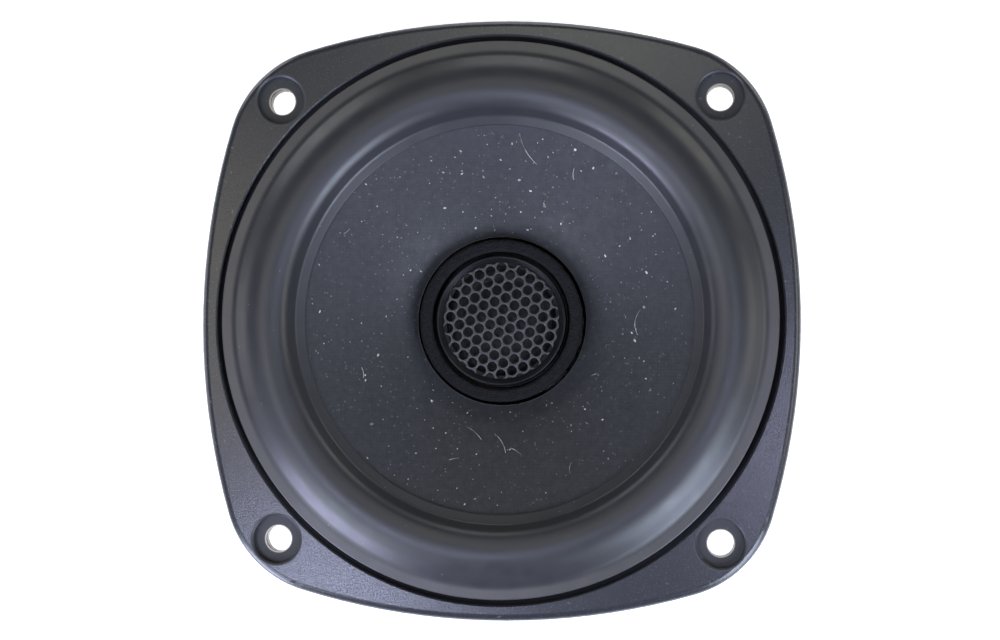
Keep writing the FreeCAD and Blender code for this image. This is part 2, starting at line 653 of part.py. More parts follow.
nodes = {
    "basket": basket(),
    "surround": surround(),
    "cone": cone(),
    "voice_coil_former": voice_coil_former(),
    "voice_coil_winding": voice_coil_winding(),
    "spider": spider(),
    "top_plate": top_plate(),
    "magnet_ring": magnet_ring(),
    "back_plate_and_pole": back_plate_and_pole(),
    "motor_screws": Part.makeCompound(motor_screws()),
    "tweeter_housing": tweeter_housing(),
    "stem_retainer": stem_retainer(),
    "foam_ring": foam_ring(),
    "tweeter_pot": tweeter_pot(),
    "tweeter_magnet": ring(0, *TWEETER_MAGNET),
    "tweeter_pole_plate": ring(0, *TWEETER_PLATE),
    "tweeter_felt": ring(0, 6.5, TWEETER_PLATE[2], TWEETER_PLATE[2] + 0.8),
    "tweeter_coil_former": ring(TWEETER_COIL_R, TWEETER_COIL_R + 0.12, TWEETER_COIL_Z[0], DOME_BASE_Z - 0.1),
    "tweeter_coil_winding": ring(TWEETER_COIL_R + 0.12, TWEETER_COIL_R + 0.4, *TWEETER_COIL_Z),
    "tweeter_dome": tweeter_dome(),
    "tweeter_dome_roll": tweeter_dome_roll(),
    "tweeter_bezel": tweeter_bezel(),
    "tweeter_grille": tweeter_grille(),
    "tweeter_lead_positive": lead_positive,
    "tweeter_lead_negative": lead_negative,
    "terminal_board": terminal_board(),
    "terminal_positive": tabs[1],
    "terminal_negative": tabs[-1],
    "terminal_rivets": Part.makeCompound([rivet(-1), rivet(1)]),
    "tinsel_lead_positive": tinsel_lead(1),
    "tinsel_lead_negative": tinsel_lead(-1),
    "crossover_capacitor": capacitor_body(),
    "capacitor_lead_in": lead_in,
    "capacitor_lead_out": lead_out,
    "lead_sleeve": sleeve,
    "solder_joints": Part.makeCompound(solder_joints()),
}

os.makedirs("parts", exist_ok=True)
for name, shape in nodes.items():
    shape.exportStep("parts/%s.step" % name)
    solids = len(shape.Solids)
    print("%-24s solids %2d valid %s volume %9.1f" % (name, solids, shape.isValid(), shape.Volume))
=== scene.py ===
import json
import math
import random

import bmesh
import bpy
import numpy as np
from mathutils import Matrix, Vector, noise as field


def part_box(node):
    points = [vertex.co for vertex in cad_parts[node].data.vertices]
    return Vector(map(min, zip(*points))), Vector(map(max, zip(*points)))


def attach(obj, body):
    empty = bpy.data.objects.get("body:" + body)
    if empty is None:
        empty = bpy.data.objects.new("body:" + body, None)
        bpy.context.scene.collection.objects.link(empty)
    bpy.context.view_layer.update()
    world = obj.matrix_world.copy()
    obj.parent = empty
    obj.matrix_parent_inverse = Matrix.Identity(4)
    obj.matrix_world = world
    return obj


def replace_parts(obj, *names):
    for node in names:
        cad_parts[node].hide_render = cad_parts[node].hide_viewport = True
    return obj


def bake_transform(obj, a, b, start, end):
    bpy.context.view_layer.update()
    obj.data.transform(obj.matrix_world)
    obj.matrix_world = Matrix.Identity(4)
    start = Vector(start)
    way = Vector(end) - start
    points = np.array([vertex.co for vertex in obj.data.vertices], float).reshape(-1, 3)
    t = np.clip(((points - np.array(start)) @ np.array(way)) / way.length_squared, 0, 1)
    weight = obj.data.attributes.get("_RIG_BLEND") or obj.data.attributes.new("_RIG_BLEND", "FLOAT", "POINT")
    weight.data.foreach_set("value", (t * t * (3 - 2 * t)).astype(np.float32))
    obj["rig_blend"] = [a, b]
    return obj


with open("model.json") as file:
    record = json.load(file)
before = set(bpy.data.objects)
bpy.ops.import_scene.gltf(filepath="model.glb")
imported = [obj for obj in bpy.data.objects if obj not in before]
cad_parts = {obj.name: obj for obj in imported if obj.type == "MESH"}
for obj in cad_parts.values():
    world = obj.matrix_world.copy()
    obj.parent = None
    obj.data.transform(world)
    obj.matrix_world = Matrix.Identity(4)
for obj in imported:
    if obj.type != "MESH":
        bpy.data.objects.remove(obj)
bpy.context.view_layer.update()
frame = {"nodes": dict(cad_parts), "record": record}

MM = 0.001
FRAME, CONE, DOME = "frame", "cone_assembly", "tweeter_diaphragm"

# ---- shapes that stand for CAD nodes, in millimetres, as in the frame ----------------------------

FLANGE_T = 6.5
SCREW_HALF = 97.5 / 2
SCREW_HOLE_R = 2.9
COUNTERBORE_R = 5.25
COUNTERBORE_Z = FLANGE_T - 2.6
GAP_R = 62.05               # middle of the gap between the surround's lip and the flange
GAP_HALF = 0.62
SEAT_Z = 4.0

LIP_R = 61.4
LIP_Z = FLANGE_T + 0.4
LIP_W = 2.4
SURROUND_T = 0.8
SURROUND_BLEND = (59.0, 46.0)   # still outside the first radius, moving fully inside the second
# front of the half roll: radius, height above the lip, rounding
ROLL = [(LIP_R, 0.0, 0.3), (58.54, 0.0, 3.15), (52.63, 4.14, 8.7), (46.89, 1.82, 3.7),
        (45.09, -1.3, 1.2), (43.0, -2.08, 0.25)]

GLUE = 0.05
CONE_T = 0.6
CONE_EDGE_R = 45.6
CONE_SLOPE = math.atan2(1.12, 3.0)
CONE_BEND = (27.0, -1.95, 60.0)
FORMER_R = 19.2
CONE_NECK_Z = -5.6

SPIDER_Z = -15.05
SPIDER_T = 0.5
SPIDER_OUT_R = 44.6
SPIDER_WAVE = 1.1
SPIDER_PITCH = 2.1
SPIDER_WAVES = 9
SPIDER_COLLAR = 2.6         # flat part round the former
SPIDER_BLEND = (41.0, 21.5)

FOAM_R = (15.4, 18.4)
FOAM_Z = (-7.0, -2.0)
FOAM_INSET = 0.15           # the ragged surface lies about this far inside the CAD outline
FOAM_STEP = 0.35
GRILLE_R = 13.1
GRILLE_Z = -3.5
GRILLE_T = 0.5
GRILLE_RISE = 0.25
GRILLE_HOLE_R = 1.09
GRILLE_PITCH = 2.63
GRILLE_TURN = math.radians(19)
GRILLE_ROUND = 0.14         # rounding of the punched edges

DOME_R = 9.5
DOME_H = 2.6
DOME_BASE_Z = -7.6
DOME_T = 0.15
RIM_CLAMP_Z = -7.2
BEZEL_R = 14.6
DOME_FOOT_R = DOME_R + 0.3
DOME_STEPS = 24
DOME_BLEND = (12.0, DOME_FOOT_R)

TERMINAL_DEG = -45
LEAD_R = 0.55
# centre line of a tinsel lead: distance out towards the terminals, distance to the side, height
LEAD_LINE = [(19.6, 4.5, -8.6), (26.6, 4.9, -10.6), (38.0, 5.8, -12.0), (46.0, 6.4, -11.0),
             (53.0, 6.5, -11.0), (53.0, 6.5, -14.4)]

DUST_COUNT = 330
DUST_SEED = 7
DUST_R = (20.5, 42.4)
DUST_SIZE = 0.095           # median half width of a grain
DUST_LARGEST = 0.32
# fibres on the cone: radius, direction, length, heading against the radius, bow (degrees and mm)
FIBRES = [
    (38.5, 80.4, 7.9, 37, 0.7), (26.0, 257, 4.6, 60, 0.3), (27.5, 270, 5.4, 30, 0.5),
    (29.5, 277, 3.0, 50, 0.2), (31.0, 359, 5.6, 85, 1.0), (32.6, 252, 2.2, 120, 0.1),
    (36.5, 63, 2.8, 20, 0.2), (33.0, 201, 2.4, 80, 0.2), (36.5, 296, 2.6, 150, 0.3),
    (24.5, 330, 2.0, 40, 0.3), (39.5, 150, 1.8, 70, 0.1),
]
FIBRE_R = 0.075
FIBRE_STEPS = 14
FIBRE_SIDES = 6

# ---- floor, lights and camera, in metres ---------------------------------------------------------

FLOOR_DROP = 0.0002         # keeps the floor clear of the back plate that stands on it
FLOOR_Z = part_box("back_plate_and_pole")[0][2] - FLOOR_DROP
FLOOR_HALF = 3.0
FLOOR_GLOW = 0.55
CAMERA_PLACE = Vector((0.03506, -0.01728, 0.40322))
CAMERA_AIM = Vector((0.00022, -0.00010, 0.0020))
CAMERA_ROLL = -0.004
CAMERA_LENS = 65.4
SENSOR_WIDTH = 36.0
WORLD_STRENGTH = 0.15
WORLD_FADE = (0.05, 0.5)    # upward part of the direction where the glow begins and ends to fade
# name, place, size, power, colour
SOFTBOXES = [
    ("back_right", (0.476, 0.000, 0.275), 0.24, 0.47, (1.00, 0.96, 0.88)),
    ("right_back", (0.383, 0.383, 0.096), 0.24, 0.50, (1.00, 0.98, 0.92)),
    ("back", (0.000, 0.542, 0.096), 0.24, 0.42, (0.98, 0.98, 1.00)),
    ("left_back", (-0.383, 0.383, 0.096), 0.24, 0.52, (0.97, 0.97, 1.00)),
    ("left", (-0.542, 0.000, 0.096), 0.24, 0.35, (0.98, 0.98, 1.00)),
    ("low_left", (-0.383, -0.383, 0.096), 0.24, 2.57, (0.67, 0.68, 1.00)),
    ("mid_left", (-0.337, -0.337, 0.275), 0.24, 0.75, (0.82, 0.92, 1.00)),
    ("high_left", (-0.265, -0.265, 0.400), 0.16, 0.60, (0.75, 0.82, 1.00)),
    ("high_right", (0.265, -0.265, 0.400), 0.16, 0.90, (0.75, 0.82, 1.00)),
    ("low_right", (0.383, -0.383, 0.096), 0.24, 0.94, (0.70, 0.72, 1.00)),
    ("mid_right", (0.337, -0.337, 0.275), 0.24, 1.78, (0.69, 0.81, 1.00)),
    ("top_left", (-0.12, -0.12, 0.45), 0.08, 0.46, (0.66, 0.70, 1.00)),
    ("top_right", (0.12, -0.04, 0.45), 0.08, 0.22, (0.67, 0.69, 1.00)),
    ("top_back", (0.00, 0.18, 0.45), 0.16, 0.16, (1.00, 1.00, 0.81)),
    ("top_side", (-0.18, 0.03, 0.45), 0.14, 0.14, (1.00, 0.93, 0.71)),
]

# ---- materials' common measures ------------------------------------------------------------------

NOISE_SPREAD = (0.3, 0.7)   # nearly all of a noise texture's values lie between these
WAVE_BANDS = 3.2            # bands in a metre of a wave texture of scale 1


# ---- node trees ----------------------------------------------------------------------------------

class Surface:
    """One procedural material: a Principled shader fed with colour, roughness and bump textures."""

    def __init__(self, name, colour, roughness, **sockets):
        self.material = bpy.data.materials.new(name)
        self.material.use_nodes = True
        self.tree = self.material.node_tree
        self.shader = self.tree.nodes["Principled BSDF"]
        self.set("Base Color", (*colour, 1))
        self.set("Roughness", roughness)
        for socket, value in sockets.items():
            self.set(socket.replace("_", " "), value)
        self.place = self.tree.nodes.new("ShaderNodeTexCoord").outputs["Object"]
        self.normal = None

    def set(self, socket, value):
        self.shader.inputs[socket].default_value = value

    def add(self, kind, **settings):
        node = self.tree.nodes.new(kind)
        for key, value in settings.items():
            setattr(node, key, value)
        return node

    def feed(self, socket, value):
        if isinstance(value, bpy.types.NodeSocket):
            self.tree.links.new(value, socket)
        else:
            socket.default_value = value

    def maths(self, operation, a, b=0.0):
        node = self.add("ShaderNodeMath", operation=operation)
        for socket, value in zip(node.inputs, (a, b)):
            self.feed(socket, value)
        return node.outputs[0]

    def times(self, a, b):
        return self.maths("MULTIPLY", a, b)

    def most(self, a, b):
        return self.maths("MAXIMUM", a, b)

    def away_from(self, value, middle):
        """How far a value is from the middle, either way."""
        return self.maths("ABSOLUTE", self.maths("SUBTRACT", value, middle))

    def length(self, a, b):
        """Length of the vector (a, b)."""
        return self.maths("SQRT", self.maths("ADD", self.times(a, a), self.times(b, b)))

    def stretched(self, scale):
        node = self.add("ShaderNodeMapping")
        self.feed(node.inputs["Vector"], self.place)
        node.inputs["Scale"].default_value = scale
        return node.outputs[0]

    def noise(self, scale, detail=3.0, rough=0.55, place=None):
        node = self.add("ShaderNodeTexNoise")
        self.feed(node.inputs["Vector"], place or self.place)
        for key, value in (("Scale", scale), ("Detail", detail), ("Roughness", rough)):
            node.inputs[key].default_value = value
        return node.outputs["Fac"]

    def cells(self, scale):
        """Distance to the nearest of many scattered points."""
        node = self.add("ShaderNodeTexVoronoi")
        self.feed(node.inputs["Vector"], self.place)
        node.inputs["Scale"].default_value = scale
        return node.outputs["Distance"]

    def waves(self, scale, axis, distortion=0.0, place=None):
        node = self.add("ShaderNodeTexWave", bands_direction=axis)
        self.feed(node.inputs["Vector"], place or self.place)
        node.inputs["Scale"].default_value = scale
        node.inputs["Distortion"].default_value = distortion
        node.inputs["Detail Scale"].default_value = 3.0
        return node.outputs["Fac"]

    def between(self, value, low, high, out_low=0.0, out_high=1.0, smooth=False):
        """As the value runs from low to high, this runs from out_low to out_high."""
        kind = "SMOOTHSTEP" if smooth else "LINEAR"
        node = self.add("ShaderNodeMapRange", interpolation_type=kind)
        for socket, number in zip(node.inputs, (value, low, high, out_low, out_high)):
            self.feed(socket, number)
        return node.outputs[0]

    def blend_colour(self, factor, a, b):
        node = self.add("ShaderNodeMix", data_type="RGBA")
        self.feed(node.inputs[0], factor)
        for socket, value in ((node.inputs[6], a), (node.inputs[7], b)):
            self.feed(socket, (*value, 1) if isinstance(value, tuple) else value)
        return node.outputs[2]

    def colour(self, factor, a, b):
        """The base colour runs from a to b with the factor; a may be the colour so far."""
        self.feed(self.shader.inputs["Base Color"], self.blend_colour(factor, a, b))

    def roughness(self, noise, low, high):
        """The roughness runs from low to high with a noise."""
        self.feed(self.shader.inputs["Roughness"], self.between(noise, *NOISE_SPREAD, low, high))

    def bump(self, height, strength, distance_mm):
        node = self.add("ShaderNodeBump")
        node.inputs["Strength"].default_value = strength
        node.inputs["Distance"].default_value = distance_mm * MM
        self.feed(node.inputs["Height"], height)
        if self.normal:
            self.feed(node.inputs["Normal"], self.normal)
        self.normal = node.outputs[0]
        self.feed(self.shader.inputs["Normal"], self.normal)

    def radius(self):
        """Distance from the speaker's axis in metres. It also sets x, y and height."""
        node = self.add("ShaderNodeSeparateXYZ")
        self.feed(node.inputs[0], self.place)
        self.x, self.y, self.height = node.outputs
        return self.length(self.x, self.y)


# ---- materials -----------------------------------------------------------------------------------

def frame_casting():
    """Black textured paint on an aluminium casting, worn to bare metal inside the screw holes."""
    s = Surface("frame_casting", (0.030, 0.031, 0.035), 0.28, Specular_IOR_Level=0.65)
    grain = s.noise(2600, 2.0, 0.6)
    radius = s.radius()
    off_x = s.maths("SUBTRACT", s.maths("ABSOLUTE", s.x), SCREW_HALF * MM)
    off_y = s.maths("SUBTRACT", s.maths("ABSOLUTE", s.y), SCREW_HALF * MM)
    to_hole = s.length(off_x, off_y)

    patches = s.noise(45, 3.0, 0.6)
    tone = s.blend_colour(patches, (0.023, 0.024, 0.028), (0.031, 0.032, 0.036))
    dust = s.times(s.between(s.noise(900, 2.0, 0.5), 0.69, 0.74), 0.35)
    dusty = s.blend_colour(dust, tone, (0.20, 0.19, 0.18))

    # painted shade in the narrow gap round the surround's lip: the seat at the bottom of the gap is coloured
    # near black
    beside_lip = s.between(s.away_from(radius, GAP_R * MM), (GAP_HALF + 0.1) * MM, GAP_HALF * MM)
    sunk = s.between(s.height, (FLANGE_T - 0.1) * MM, (FLANGE_T - 0.5) * MM)
    in_gap = s.times(beside_lip, sunk)
    painted_gap_shade = s.blend_colour(in_gap, dusty, (0.012, 0.012, 0.016))

    # each screw hole is bare at its mouth and, below a jagged line, at its bottom
    rim = s.between(to_hole, (SCREW_HOLE_R + 0.28) * MM, (SCREW_HOLE_R + 0.12) * MM)
    below = s.between(s.height, (COUNTERBORE_Z + 0.05) * MM, COUNTERBORE_Z * MM)
    scraped = s.noise(1500, 3.0, 0.7, place=s.stretched((1.0, 1.0, 2.2)))
    jagged = s.maths("ADD", s.height, s.times(s.maths("SUBTRACT", scraped, 0.5), 3.0 * MM))
    mouth = s.between(s.height, (COUNTERBORE_Z - 0.75) * MM, (COUNTERBORE_Z - 0.6) * MM)
    bottom = s.between(jagged, (COUNTERBORE_Z - 1.5) * MM, (COUNTERBORE_Z - 1.7) * MM)
    worn = s.times(s.times(rim, below), s.most(mouth, bottom))
    s.colour(worn, painted_gap_shade, (0.44, 0.40, 0.33))
    s.feed(s.shader.inputs["Metallic"], s.times(worn, 0.85))

    painted = s.between(grain, *NOISE_SPREAD, 0.20, 0.29)
    by_hole = s.between(to_hole, (COUNTERBORE_R + 0.7) * MM, (COUNTERBORE_R + 0.5) * MM, 0.0, 0.5)
    s.feed(s.shader.inputs["Roughness"], s.most(s.most(painted, in_gap), by_hole))
    s.bump(grain, 0.55, 0.05)
    s.bump(s.noise(700, 2.0, 0.5), 0.10, 0.06)
    return s.material


def surround_rubber():
    """Moulded rubber: smooth and slightly waxy, with a film of dust on top of its lip."""
    s = Surface("surround_rubber", (0.030, 0.031, 0.036), 0.38, Specular_IOR_Level=0.56)
    radius = s.radius()
    film = s.noise(60, 4.0, 0.6)
    tone = s.blend_colour(film, (0.022, 0.0225, 0.025), (0.028, 0.0285, 0.031))
    from_lip = s.away_from(radius, (LIP_R - 1.0) * MM)
    along_lip = s.between(from_lip, 1.9 * MM, 0.6 * MM, smooth=True)
    on_top = s.between(s.height, (LIP_Z - 0.35) * MM, (LIP_Z - 0.1) * MM)
    dust = s.times(s.times(along_lip, on_top), s.between(film, *NOISE_SPREAD, 0.4, 0.8))
    dusty = s.blend_colour(dust, tone, (0.074, 0.069, 0.063))
    clusters = s.between(s.noise(300, 1.0, 0.5), 0.5, 0.6)
    specks = s.times(s.between(s.cells(420), 0.055, 0.03), clusters)
    s.colour(specks, dusty, (0.24, 0.22, 0.19))
    s.roughness(s.noise(240, 4.0, 0.6), 0.34, 0.42)
    s.bump(s.noise(1900, 2.0, 0.5), 0.10, 0.03)
    s.bump(s.noise(25, 2.0, 0.5), 0.2, 0.3)
    return s.material


def cone_fibre():
    """Dark mottled cone with a faint woven surface and fine pale dust."""
    s = Surface("cone_fibre", (0.032, 0.034, 0.040), 0.55, Specular_IOR_Level=0.4)
    weave = s.times(s.waves(430, "X", 1.2), s.waves(430, "Y", 1.2))
    slub = s.noise(260, 3.0, 0.6, place=s.stretched((1.0, 0.25, 1.0)))
    tone = s.blend_colour(slub, (0.016, 0.0175, 0.0215), (0.026, 0.027, 0.031))
    woven = s.blend_colour(s.between(weave, 0.0, 1.0, 0.0, 0.22), tone, (0.043, 0.045, 0.050))
    mottle = s.between(s.noise(750, 4.0, 0.7), 0.38, 0.64)
    mottled = s.blend_colour(s.times(mottle, 0.45), woven, (0.043, 0.043, 0.048))
    clusters = s.between(s.noise(120, 2.0, 0.5), 0.42, 0.62)
    faint = s.times(s.between(s.cells(640), 0.19, 0.08), s.times(clusters, 0.45))
    film = s.blend_colour(faint, mottled, (0.15, 0.145, 0.14))
    gathered = s.between(s.noise(500, 1.0, 0.5), 0.52, 0.60)
    fine = s.times(s.between(s.cells(900), 0.16, 0.09), gathered)
    s.colour(s.times(fine, 0.6), film, (0.22, 0.21, 0.20))
    s.roughness(s.noise(500, 3.0, 0.6), 0.46, 0.62)
    s.bump(weave, 0.2, 0.06)
    s.bump(s.noise(1200, 3.0, 0.6), 0.35, 0.06)
    return s.material


def foam():
    s = Surface("foam", (0.008, 0.008, 0.009), 0.95, Specular_IOR_Level=0.2)
    pores = s.cells(1900)
    s.colour(s.noise(900, 3.0, 0.6), (0.005, 0.005, 0.006), (0.012, 0.012, 0.013))
    s.roughness(s.noise(700), 0.85, 1.0)
    s.bump(pores, 0.8, 0.25)
    return s.material


def grille_metal():
    """Stamped sheet with a thin dark coat, paler where the punch rounded it over."""
    s = Surface("grille_metal", (0.09, 0.09, 0.094), 0.38, Metallic=0.3, Specular_IOR_Level=0.4)
    s.colour(s.noise(700, 3.0, 0.6), (0.036, 0.036, 0.038), (0.078, 0.078, 0.081))
    s.roughness(s.noise(900), 0.30, 0.46)
    s.bump(s.noise(2500, 2.0, 0.5), 0.15, 0.05)
    return s.material


def moulded_plastic(name, colour, roughness, grain=1800, strength=0.12, **sockets):
    """Injection moulding with a faint spark-eroded grain."""
    s = Surface(name, colour, roughness, **sockets)
    lighter = tuple(c * 1.5 + 0.002 for c in colour)
    s.colour(s.noise(120, 4.0, 0.6), tuple(c * 0.8 for c in colour), lighter)
    s.roughness(s.noise(grain), roughness - 0.07, roughness + 0.09)
    s.bump(s.noise(grain), strength, 0.06)
    return s.material


def plated_steel(name, colour, roughness, turned=False):
    """Zinc-plated or bare steel, with turning marks or a drawn grain, and faint stains."""
    s = Surface(name, colour, roughness, Metallic=1.0)
    radius = s.radius()
    stains = s.noise(70, 5.0, 0.65)
    if turned:
        rings = s.add("ShaderNodeCombineXYZ")
        s.feed(rings.inputs[0], radius)
        s.feed(rings.inputs[1], s.times(s.height, 0.6))
        marks = s.noise(3200, 3.0, 0.7, place=rings.outputs[0])
    else:
        marks = s.noise(1500, 3.0, 0.7, place=s.stretched((1.0, 0.12, 1.0)))
    warm = tuple(c * f for c, f in zip(colour, (1.04, 0.98, 0.86)))
    s.colour(s.between(stains, 0.35, 0.7), colour, tuple(c * 0.86 for c in warm))
    s.roughness(s.noise(160, 4.0, 0.6), roughness - 0.07, roughness + 0.12)
    s.bump(marks, 0.18, 0.04)
    return s.material


def ferrite():
    """Sintered ferrite: dark grey, matt, ground flat, with small chips and a dusty bloom."""
    s = Surface("ferrite", (0.045, 0.045, 0.048), 0.62)
    s.colour(s.noise(150, 6.0, 0.7), (0.030, 0.030, 0.033), (0.075, 0.074, 0.075))
    s.roughness(s.noise(500, 4.0, 0.6), 0.50, 0.78)
    s.bump(s.noise(900, 5.0, 0.7), 0.35, 0.12)
    s.bump(s.between(s.cells(160), 0.02, 0.12), 0.25, 0.25)
    return s.material


def woven_cloth(name, colour, pitch_mm, roughness=0.8, stiffened=0.0):
    """Plain weave, with the threads' relief; stiffened cloth shows the resin's gloss."""
    s = Surface(name, colour, roughness,
                Coat_Weight=stiffened, Coat_Roughness=0.35, Sheen_Weight=0.2)
    count = 1.0 / (pitch_mm * MM) / WAVE_BANDS
    weave = s.times(s.waves(count, "X", 0.6), s.waves(count, "Y", 0.6))
    darker = tuple(c * 0.55 for c in colour)
    s.colour(s.between(weave, 0.0, 0.8), darker, colour)
    s.roughness(s.noise(400), roughness - 0.1, min(1.0, roughness + 0.1))
    s.bump(weave, 0.6, 0.15)
    return s.material


def felt():
    s = Surface("felt", (0.16, 0.16, 0.165), 1.0, Sheen_Weight=0.5)
    s.colour(s.noise(1500, 4.0, 0.7), (0.10, 0.10, 0.105), (0.24, 0.24, 0.245))
    s.roughness(s.noise(600), 0.9, 1.0)
    s.bump(s.noise(2200, 5.0, 0.75), 0.8, 0.3)
    return s.material


def dust_and_fluff():
    s = Surface("dust_and_fluff", (0.42, 0.39, 0.34), 0.9)
    grains = s.between(s.noise(350, 2.0, 0.5), 0.42, 0.58)
    s.colour(grains, (0.17, 0.15, 0.12), (0.55, 0.53, 0.49))
    s.roughness(s.noise(900), 0.8, 1.0)
    s.bump(s.noise(5000, 3.0, 0.6), 0.5, 0.05)
    return s.material


def copper_winding():
    """Enamelled copper wire wound side by side, so the grooves run round the coil."""
    s = Surface("copper_winding", (0.42, 0.13, 0.05), 0.3, Metallic=0.85)
    turns = s.waves(1050, "Z", 0.05)
    s.colour(turns, (0.20, 0.055, 0.02), (0.62, 0.22, 0.09))
    s.roughness(s.noise(800), 0.24, 0.40)
    s.bump(turns, 0.7, 0.10)
    return s.material


def braided_copper():
    """Tinsel lead: fine copper strands laid diagonally round a soft core."""
    s = Surface("braided_copper", (0.62, 0.30, 0.16), 0.38, Metallic=0.9)
    one = s.waves(620, "DIAGONAL", 0.4)
    other = s.waves(620, "DIAGONAL", 0.4, place=s.stretched((1.0, -1.0, 1.0)))
    lay = s.most(one, other)
    s.colour(lay, (0.22, 0.08, 0.04), (0.78, 0.42, 0.24))
    s.roughness(s.noise(900), 0.30, 0.48)
    s.bump(lay, 0.8, 0.18)
    return s.material


def phenolic_board():
    """Laminated board: brown, with layers at its edges and faint paper fibres on its faces."""
    s = Surface("phenolic_board", (0.11, 0.055, 0.022), 0.45)
    layers = s.waves(900, "Z", 0.6)
    fibres = s.noise(700, 4.0, 0.65, place=s.stretched((1.0, 0.3, 1.0)))
    s.colour(s.times(layers, fibres), (0.075, 0.035, 0.014), (0.17, 0.09, 0.04))
    s.roughness(fibres, 0.38, 0.55)
    s.bump(fibres, 0.2, 0.05)
    return s.material


def pale_floor():
    s = Surface("pale_floor", (0.9, 0.9, 0.9), 0.6)
    s.colour(s.noise(3.0, 2.0, 0.5), (0.89, 0.89, 0.89), (0.91, 0.91, 0.91))
    s.set("Emission Color", (1, 1, 1, 1))
    s.set("Emission Strength", FLOOR_GLOW)
    return s.material


SHADES = {
    "frame_casting": frame_casting(),
    "surround_rubber": surround_rubber(),
    "cone_fibre": cone_fibre(),
    "coil_former": moulded_plastic("coil_former", (0.010, 0.010, 0.010), 0.40, grain=1200),
    "copper_wire": copper_winding(),
    "spider_cloth": woven_cloth("spider_cloth", (0.36, 0.20, 0.07), 0.55, 0.7, stiffened=0.25),
    "plated_steel": plated_steel("plated_steel", (0.60, 0.60, 0.61), 0.30, turned=True),
    "ferrite": ferrite(),
    "screw_steel": plated_steel("screw_steel", (0.66, 0.62, 0.50), 0.28),
    "tweeter_plastic": moulded_plastic("tweeter_plastic", (0.005, 0.005, 0.006), 0.34,
                                       Specular_IOR_Level=0.22),
    "spring_steel": plated_steel("spring_steel", (0.42, 0.43, 0.46), 0.30),
    "foam": foam(),
    "neodymium": plated_steel("neodymium", (0.72, 0.71, 0.69), 0.22),
    "felt": felt(),
    "dome_cloth": woven_cloth("dome_cloth", (0.010, 0.010, 0.012), 0.30, 0.7),
    "grille_metal": grille_metal(),
    "lead_black": moulded_plastic("lead_black", (0.012, 0.012, 0.012), 0.40, grain=900),
    "lead_red": moulded_plastic("lead_red", (0.42, 0.014, 0.012), 0.38, grain=900),
    "board_fibre": phenolic_board(),
    "tinned_brass": plated_steel("tinned_brass", (0.68, 0.66, 0.61), 0.30),
    "tinsel_braid": braided_copper(),
    "capacitor_sleeve": moulded_plastic("capacitor_sleeve", (0.012, 0.020, 0.075), 0.28,
                                        grain=500, strength=0.05),
    "bare_wire": plated_steel("bare_wire", (0.70, 0.70, 0.69), 0.30),
    "sleeve_shrink": moulded_plastic("sleeve_shrink", (0.014, 0.014, 0.015), 0.50,
                                     grain=700, strength=0.3),
    "solder_tin": plated_steel("solder_tin", (0.66, 0.67, 0.69), 0.22),
}
SLOT_OF = {row["node"]: row["material_slot"] for row in frame["record"]["subparts"]}
for name, cad in frame["nodes"].items():
    for material_slot in cad.material_slots:
        material_slot.material = SHADES[SLOT_OF[name]]


# ---- mesh helpers --------------------------------------------------------------------------------

def along(corners, closed=False, step_deg=5.0):
    """Points through the corners (radius, height, rounding), with each rounding as an arc."""
    points = []
    count = len(corners)
    for i, (r, z, rounding) in enumerate(corners):
        here = Vector((r, z))
        if rounding == 0 or (not closed and i in (0, count - 1)):
            points.append(here)
            continue
        back = (Vector(corners[i - 1][:2]) - here).normalized()
        ahead = (Vector(corners[(i + 1) % count][:2]) - here).normalized()
        half = back.angle(ahead) / 2
        centre = here + (back + ahead).normalized() * (rounding / math.sin(half))
        first = here + back * (rounding / math.tan(half)) - centre
        sweep = first.angle_signed(here + ahead * (rounding / math.tan(half)) - centre)
        steps = max(2, round(abs(math.degrees(sweep)) / step_deg))
        for k in range(steps + 1):
            # Blender's signed angle in 2D is clockwise
            points.append(centre + Matrix.Rotation(-sweep * k / steps, 2) @ first)
    return points


def beneath(corners, depth):
    """The corners of an open line that runs inwards, moved back by depth."""
    moved = []
    for i, (r, z, rounding) in enumerate(corners):
        before, after = corners[max(i - 1, 0)], corners[min(i + 1, len(corners) - 1)]
        normals = []
        for a, b in ((before, corners[i]), (corners[i], after)):
            length = math.hypot(b[0] - a[0], b[1] - a[1])
            if length:
                normals.append((-(b[1] - a[1]) / length, (b[0] - a[0]) / length))
        (ax, az), (bx, bz) = normals[0], normals[-1]
        scale = depth / (1 + ax * bx + az * bz)
        turn = ax * bz - az * bx
        moved.append((r + (ax + bx) * scale, z + (az + bz) * scale,
                      rounding - math.copysign(depth, turn) if rounding else 0))
    return moved


def new_object(name, data):
    """An object in the scene that carries the data."""
    thing = bpy.data.objects.new(name, data)
    bpy.context.scene.collection.objects.link(thing)
    return thing


def finished(name, mesh, shade, body=None, smooth_deg=40):
    """Links a mesh as a piece with its material, smooth shading and body."""
    piece = new_object(name, mesh)
    mesh.materials.clear()
    mesh.materials.append(SHADES[shade] if isinstance(shade, str) else shade)
    mesh.shade_smooth()
    mesh.set_sharp_from_angle(angle=math.radians(smooth_deg))
    if body:
        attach(piece, body)
    return piece


def turned_mesh(name, points, segments=256, wobble=None):
    """Closed mesh of revolution from a closed outline of (radius, height) points in mm."""
    mesh = bpy.data.meshes.new(name)
    verts = []
    for k in range(segments):
        a = 2 * math.pi * k / segments
        for r, z in points:
            v = Vector((r * math.cos(a), r * math.sin(a), z))
            verts.append((v + wobble(v) if wobble else v) * MM)
    count = len(points)
    faces = []
    for k in range(segments):
        here, there = k * count, (k + 1) % segments * count
        for i in range(count):
            j = (i + 1) % count
            faces.append((here + i, there + i, there + j, here + j))
    mesh.from_pydata(verts, [], faces)
    outwards(mesh)
    return mesh


